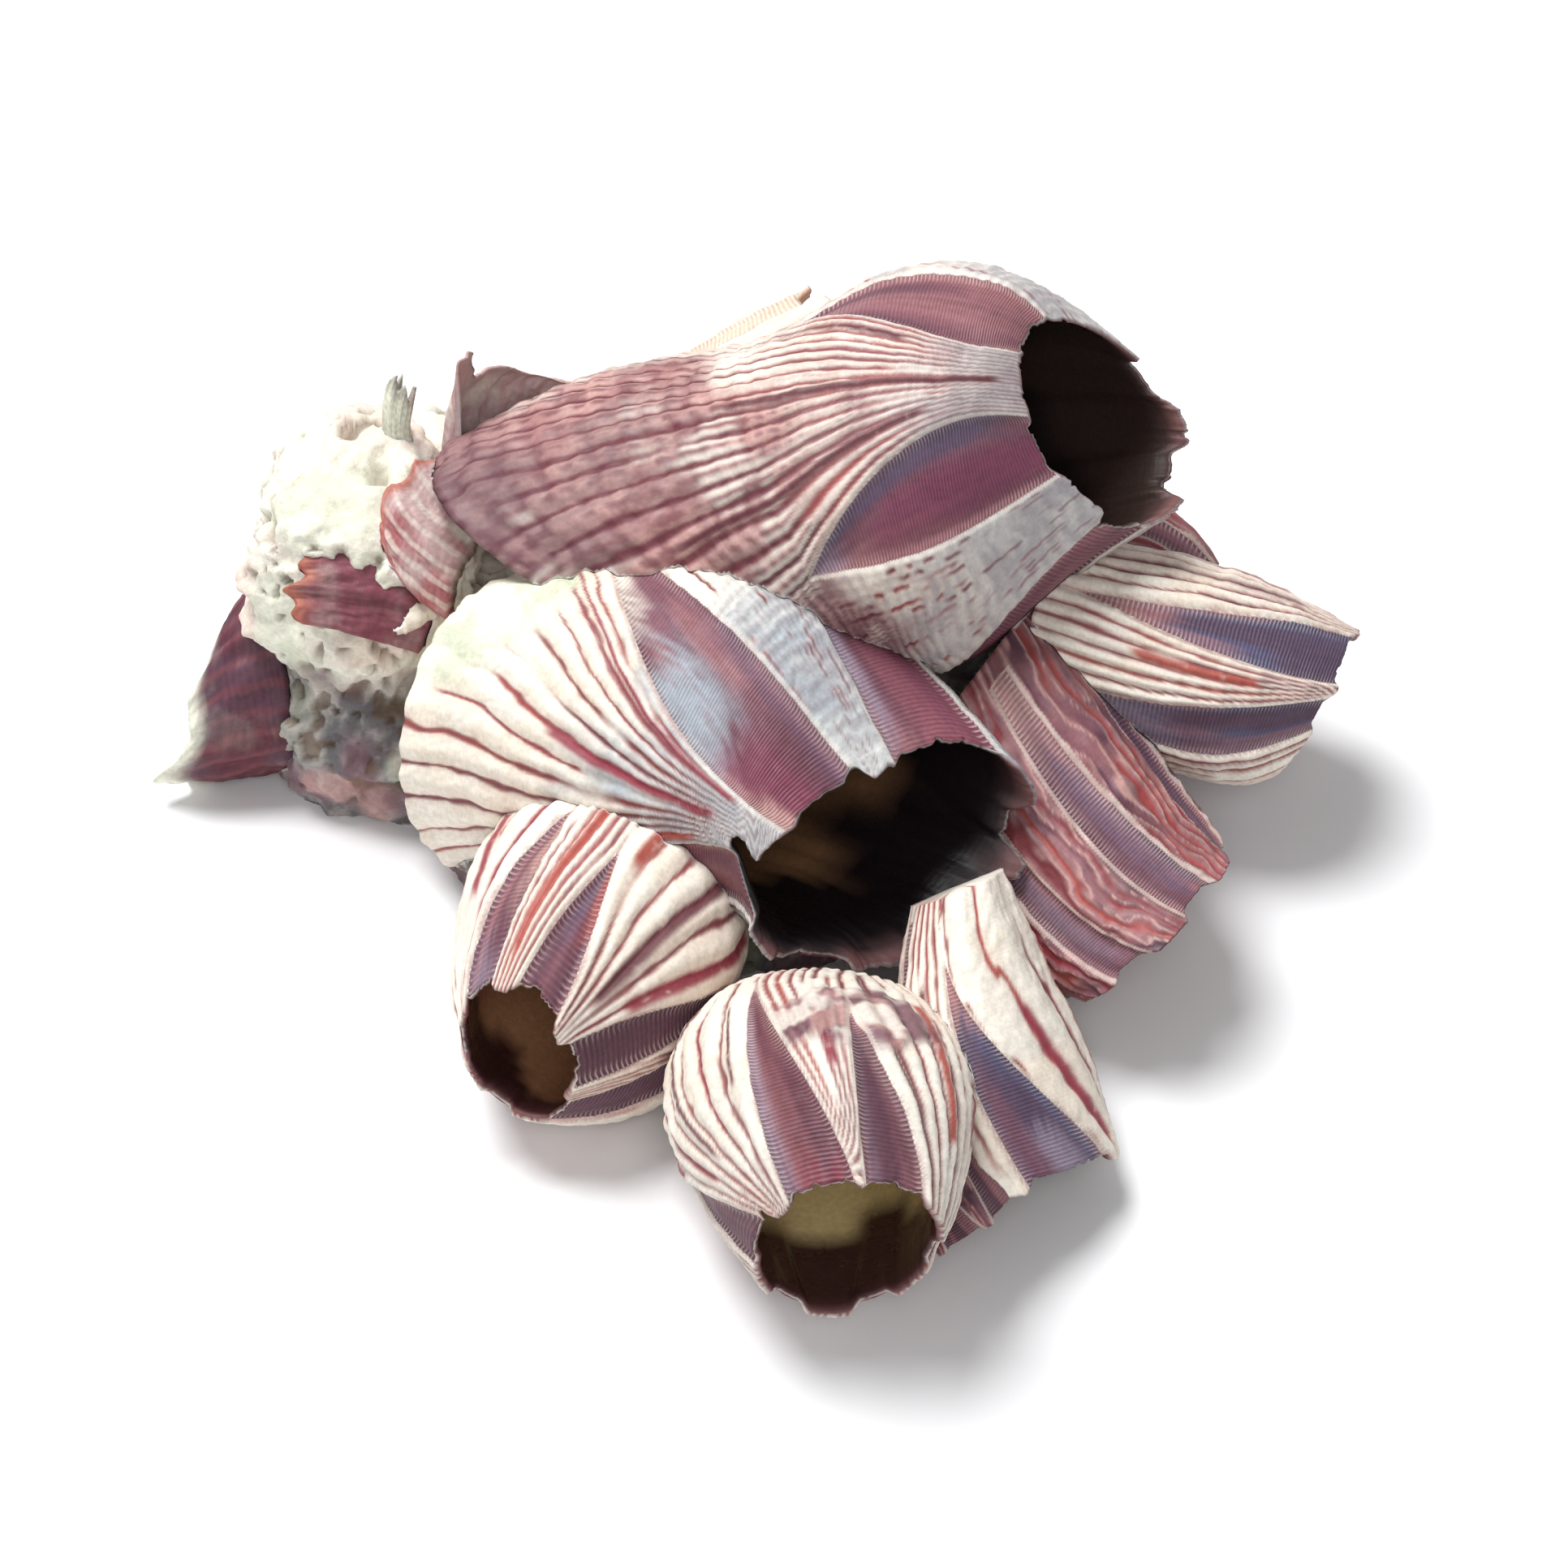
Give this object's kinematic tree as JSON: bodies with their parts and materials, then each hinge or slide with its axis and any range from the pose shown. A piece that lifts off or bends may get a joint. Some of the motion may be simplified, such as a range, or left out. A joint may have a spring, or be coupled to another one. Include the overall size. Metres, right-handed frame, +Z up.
{
  "type": "barnacle cluster",
  "caption": "Dry cluster of large acorn barnacle shells with striped cream and purple walls and open mouths, grown on a lump of chalky old shell growth.",
  "frame": {"origin": "on the flat underside that the cluster rests on", "axes": "+Z up, +X to the right as the front is faced, the front shells' mouths face -Y"},
  "size_m": [0.1396, 0.1261, 0.0632],
  "materials": {
    "striped_shell": "dry satin shell, cream ribs with crimson lines and mauve strips",
    "mauve_shell": "dry satin shell, mauve with red and white ridges",
    "broken_shell": "torn shell wall, flaky, red-purple and white",
    "old_growth": "matt chalky growth, porous"
  },
  "bodies": {
    "root": {"shell_middle": "striped_shell", "shell_top": "striped_shell", "shell_left": "striped_shell", "shell_front": "striped_shell", "shell_front_right": "striped_shell", "shell_right_low": "mauve_shell", "shell_right_high": "striped_shell", "shell_far_right": "mauve_shell", "shell_back": "striped_shell", "shell_low_front": "mauve_shell", "broken_shell_high": "broken_shell", "broken_shell_low": "broken_shell", "broken_rim_middle": "broken_shell", "broken_rim_upper": "broken_shell", "broken_spur": "broken_shell", "old_growth": "old_growth"}
  },
  "joints": []
}
